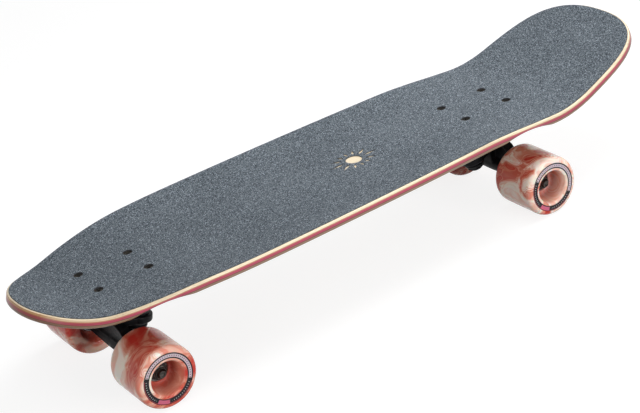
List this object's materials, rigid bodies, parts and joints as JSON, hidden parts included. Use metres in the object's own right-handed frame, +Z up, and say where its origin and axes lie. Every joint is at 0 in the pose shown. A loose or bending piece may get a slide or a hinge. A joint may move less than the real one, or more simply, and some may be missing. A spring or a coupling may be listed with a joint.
{
  "type": "cruiser skateboard",
  "caption": "Short kicktail skateboard with a tapered maple deck, grip tape, sprung steering trucks and wide soft wheels.",
  "frame": {"origin": "on the floor, below the middle of the deck's length and width", "axes": "+X to the nose, +Y to the rider's left when facing the nose, +Z up"},
  "size_m": [0.7298, 0.2012, 0.1445],
  "materials": {
    "maple": "clear-lacquered maple plies with a pink-dyed middle ply",
    "grip": "blue-grey grit sheet with fine sparkle",
    "black_steel": "blackened steel",
    "riser_plastic": "matt black",
    "truck_paint": "semi-gloss black paint over cast aluminium",
    "black_rubber": "matt",
    "bushing": "satin urethane",
    "bright_steel": "zinc-plated",
    "bearing_steel": "steel with dark shields",
    "wheel_urethane": "glossy urethane swirled red, salmon and cream"
  },
  "bodies": {
    "board": {"deck": "maple", "grip_tape": "grip", "deck_bolt_front_inner_left": "black_steel", "lock_nut_front_inner_left": "black_steel", "deck_bolt_front_inner_right": "black_steel", "lock_nut_front_inner_right": "black_steel", "deck_bolt_front_outer_left": "black_steel", "lock_nut_front_outer_left": "black_steel", "deck_bolt_front_outer_right": "black_steel", "lock_nut_front_outer_right": "black_steel", "deck_bolt_rear_inner_left": "black_steel", "lock_nut_rear_inner_left": "black_steel", "deck_bolt_rear_inner_right": "black_steel", "lock_nut_rear_inner_right": "black_steel", "deck_bolt_rear_outer_left": "black_steel", "lock_nut_rear_outer_left": "black_steel", "deck_bolt_rear_outer_right": "black_steel", "lock_nut_rear_outer_right": "black_steel", "front_riser": "riser_plastic", "front_baseplate": "truck_paint", "front_pivot_cup": "black_rubber", "front_kingpin": "black_steel", "front_kingpin_nut": "black_steel", "front_board_bushing": "bushing", "front_road_bushing": "bushing", "front_board_washer": "black_steel", "front_road_washer": "black_steel", "rear_riser": "riser_plastic", "rear_baseplate": "truck_paint", "rear_pivot_cup": "black_rubber", "rear_kingpin": "black_steel", "rear_kingpin_nut": "black_steel", "rear_board_bushing": "bushing", "rear_road_bushing": "bushing", "rear_board_washer": "black_steel", "rear_road_washer": "black_steel"},
    "front_steering": {"front_hanger": "truck_paint", "front_axle": "bright_steel", "front_left_axle_nut": "bright_steel", "front_left_bearing_spacer": "bright_steel", "front_right_axle_nut": "bright_steel", "front_right_bearing_spacer": "bright_steel"},
    "front_left_rolling": {"front_left_wheel": "wheel_urethane", "front_left_bearing_inner": "bearing_steel", "front_left_bearing_outer": "bearing_steel"},
    "front_right_rolling": {"front_right_wheel": "wheel_urethane", "front_right_bearing_inner": "bearing_steel", "front_right_bearing_outer": "bearing_steel"},
    "rear_steering": {"rear_hanger": "truck_paint", "rear_axle": "bright_steel", "rear_left_axle_nut": "bright_steel", "rear_left_bearing_spacer": "bright_steel", "rear_right_axle_nut": "bright_steel", "rear_right_bearing_spacer": "bright_steel"},
    "rear_left_rolling": {"rear_left_wheel": "wheel_urethane", "rear_left_bearing_inner": "bearing_steel", "rear_left_bearing_outer": "bearing_steel"},
    "rear_right_rolling": {"rear_right_wheel": "wheel_urethane", "rear_right_bearing_inner": "bearing_steel", "rear_right_bearing_outer": "bearing_steel"}
  },
  "joints": [
    {"name": "front_steer", "type": "hinge", "parent": "board", "child": "front_steering", "pos_m": [0.24763, 0, 0.0476], "axis": [0.809, 0, 0.5878], "range_deg": [-18, 18], "stiffness_Nm_per_rad": 25, "deforming": ["front_board_bushing", "front_road_bushing"]},
    {"name": "front_left_spin", "type": "hinge", "parent": "front_steering", "child": "front_left_rolling", "pos_m": [0.27293, 0.066, 0.0315], "axis": [0, 1, 0], "continuous": true},
    {"name": "front_right_spin", "type": "hinge", "parent": "front_steering", "child": "front_right_rolling", "pos_m": [0.27293, -0.066, 0.0315], "axis": [0, 1, 0], "continuous": true},
    {"name": "rear_steer", "type": "hinge", "parent": "board", "child": "rear_steering", "pos_m": [-0.16557, 0, 0.0476], "axis": [-0.809, 0, 0.5878], "range_deg": [-18, 18], "stiffness_Nm_per_rad": 25, "deforming": ["rear_board_bushing", "rear_road_bushing"]},
    {"name": "rear_left_spin", "type": "hinge", "parent": "rear_steering", "child": "rear_left_rolling", "pos_m": [-0.19087, 0.066, 0.0315], "axis": [0, 1, 0], "continuous": true},
    {"name": "rear_right_spin", "type": "hinge", "parent": "rear_steering", "child": "rear_right_rolling", "pos_m": [-0.19087, -0.066, 0.0315], "axis": [0, 1, 0], "continuous": true}
  ]
}
